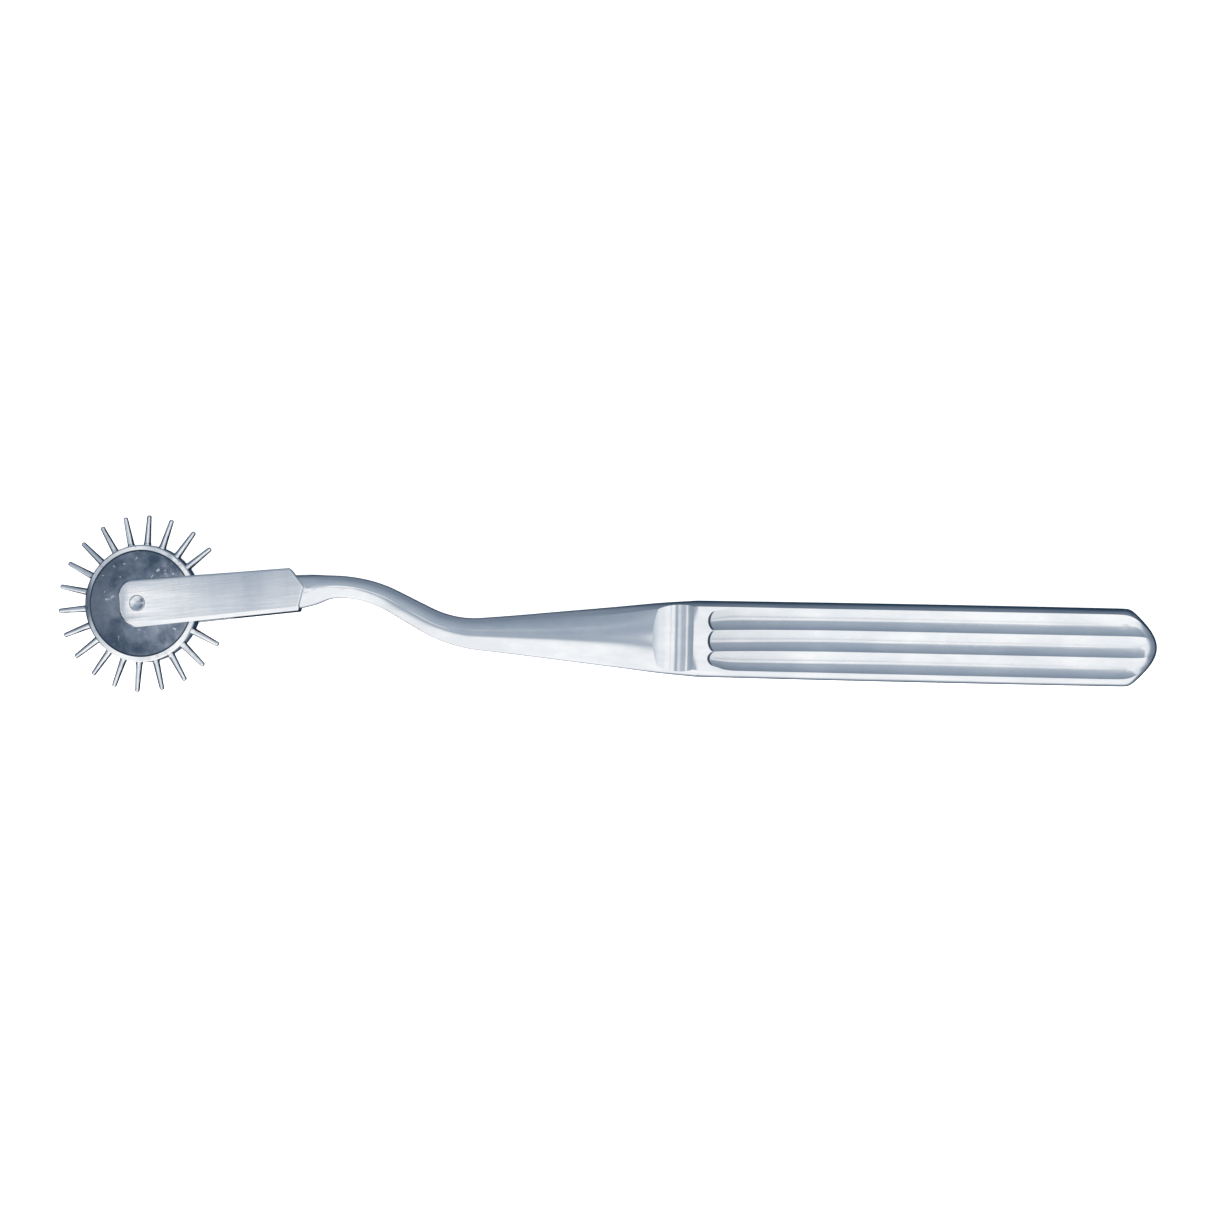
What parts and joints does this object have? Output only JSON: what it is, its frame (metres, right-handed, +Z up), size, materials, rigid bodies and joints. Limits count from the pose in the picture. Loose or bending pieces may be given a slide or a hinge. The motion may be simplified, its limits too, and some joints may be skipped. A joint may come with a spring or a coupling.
{
  "type": "neurological pin wheel",
  "caption": "Steel hand tool: a disc with tapered radial pins turns freely in the forked end of a one-piece handle with a bent shank, thumb scoops and fluted grip.",
  "frame": {"origin": "middle of the plain collar on the back face of the handle, the face that the tool lies on", "axes": "+X along the handle towards its tail, +Z up out of the broad front face and along the wheel's axle, +Y across the handle towards the side that the shank bends to"},
  "size_m": [0.1901, 0.0308, 0.0084],
  "materials": {
    "satin_steel": "satin polished, faint lengthwise brushing on the fork",
    "rivet_steel": "ground flush and lightly polished",
    "polished_steel": "mirror polished with fine handling marks",
    "pin_steel": "bright turned steel"
  },
  "bodies": {
    "handle": {"forged_handle": "satin_steel", "axle_rivet": "rivet_steel"},
    "wheel": {"wheel_disc": "polished_steel", "pin_01": "pin_steel", "pin_02": "pin_steel", "pin_03": "pin_steel", "pin_04": "pin_steel", "pin_05": "pin_steel", "pin_06": "pin_steel", "pin_07": "pin_steel", "pin_08": "pin_steel", "pin_09": "pin_steel", "pin_10": "pin_steel", "pin_11": "pin_steel", "pin_12": "pin_steel", "pin_13": "pin_steel", "pin_14": "pin_steel", "pin_15": "pin_steel", "pin_16": "pin_steel", "pin_17": "pin_steel", "pin_18": "pin_steel", "pin_19": "pin_steel", "pin_20": "pin_steel", "pin_21": "pin_steel", "pin_22": "pin_steel"}
  },
  "joints": [
    {"name": "wheel_spin", "type": "hinge", "parent": "handle", "child": "wheel", "pos_m": [-0.09901, 0.00411, 0.0042], "axis": [0, 0, 1], "continuous": true}
  ]
}
